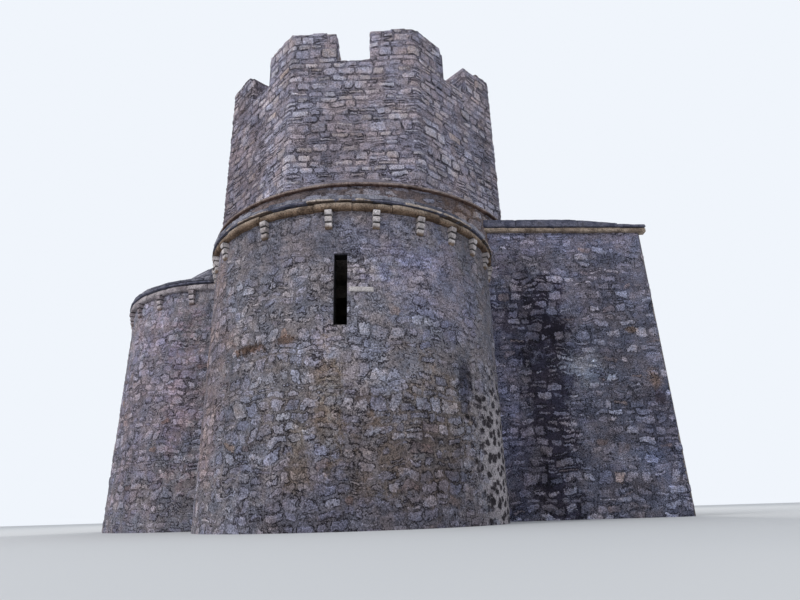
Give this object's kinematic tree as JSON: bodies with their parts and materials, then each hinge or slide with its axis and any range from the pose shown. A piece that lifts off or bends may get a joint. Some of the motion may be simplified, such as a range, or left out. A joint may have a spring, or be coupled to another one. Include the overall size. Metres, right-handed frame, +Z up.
{
  "type": "small domed church with lookout tower",
  "caption": "Small rubble-stone church with three round apses, an entrance arm and a domed crossing under a crenellated octagonal lookout tower; a building to walk into and look out from.",
  "frame": {"origin": "ground level on the dome's vertical axis", "axes": "+Z up, front apse towards -Y, left apse towards -X, entrance arm and doorway towards +X"},
  "size_m": [7.1133, 6.7754, 6.49],
  "materials": {
    "rubble_wall": "rough rubble with flush lime mortar",
    "dressed_stone": "dressed, weathered",
    "stone_slabs": "thin split slabs",
    "plastered_vault": "lime plaster on stone"
  },
  "bodies": {
    "root": {"front_apse_wall_left": "rubble_wall", "front_apse_wall_right": "rubble_wall", "front_apse_window_sill_and_head": "rubble_wall", "front_apse_conch": "plastered_vault", "front_apse_cornice": "dressed_stone", "front_apse_corbels": "dressed_stone", "front_apse_roof": "stone_slabs", "rear_apse_wall_left": "rubble_wall", "rear_apse_wall_right": "rubble_wall", "rear_apse_window_sill_and_head": "rubble_wall", "rear_apse_conch": "plastered_vault", "rear_apse_cornice": "dressed_stone", "rear_apse_corbels": "dressed_stone", "rear_apse_roof": "stone_slabs", "left_apse_wall_left": "rubble_wall", "left_apse_wall_right": "rubble_wall", "left_apse_window_sill_and_head": "rubble_wall", "left_apse_conch": "plastered_vault", "left_apse_cornice": "dressed_stone", "left_apse_corbels": "dressed_stone", "left_apse_roof": "stone_slabs", "crossing_pier_front_left": "rubble_wall", "crossing_pier_front_right": "rubble_wall", "crossing_pier_rear_left": "rubble_wall", "crossing_pier_rear_right": "rubble_wall", "drum_wall": "rubble_wall", "drum_string_course": "dressed_stone", "drum_weathering": "rubble_wall", "dome": "plastered_vault", "dome_haunch": "rubble_wall", "tower_wall": "rubble_wall", "lookout_floor": "stone_slabs", "merlons": "rubble_wall", "arm_front_wall": "rubble_wall", "arm_rear_wall": "rubble_wall", "arm_vault": "plastered_vault", "arm_cornice": "dressed_stone", "arm_roof": "stone_slabs", "doorway_wall_front": "rubble_wall", "doorway_wall_rear": "rubble_wall", "doorway_lintel": "dressed_stone", "entrance_end_wall": "rubble_wall", "doorway_threshold": "dressed_stone", "floor_paving": "stone_slabs"}
  },
  "joints": []
}
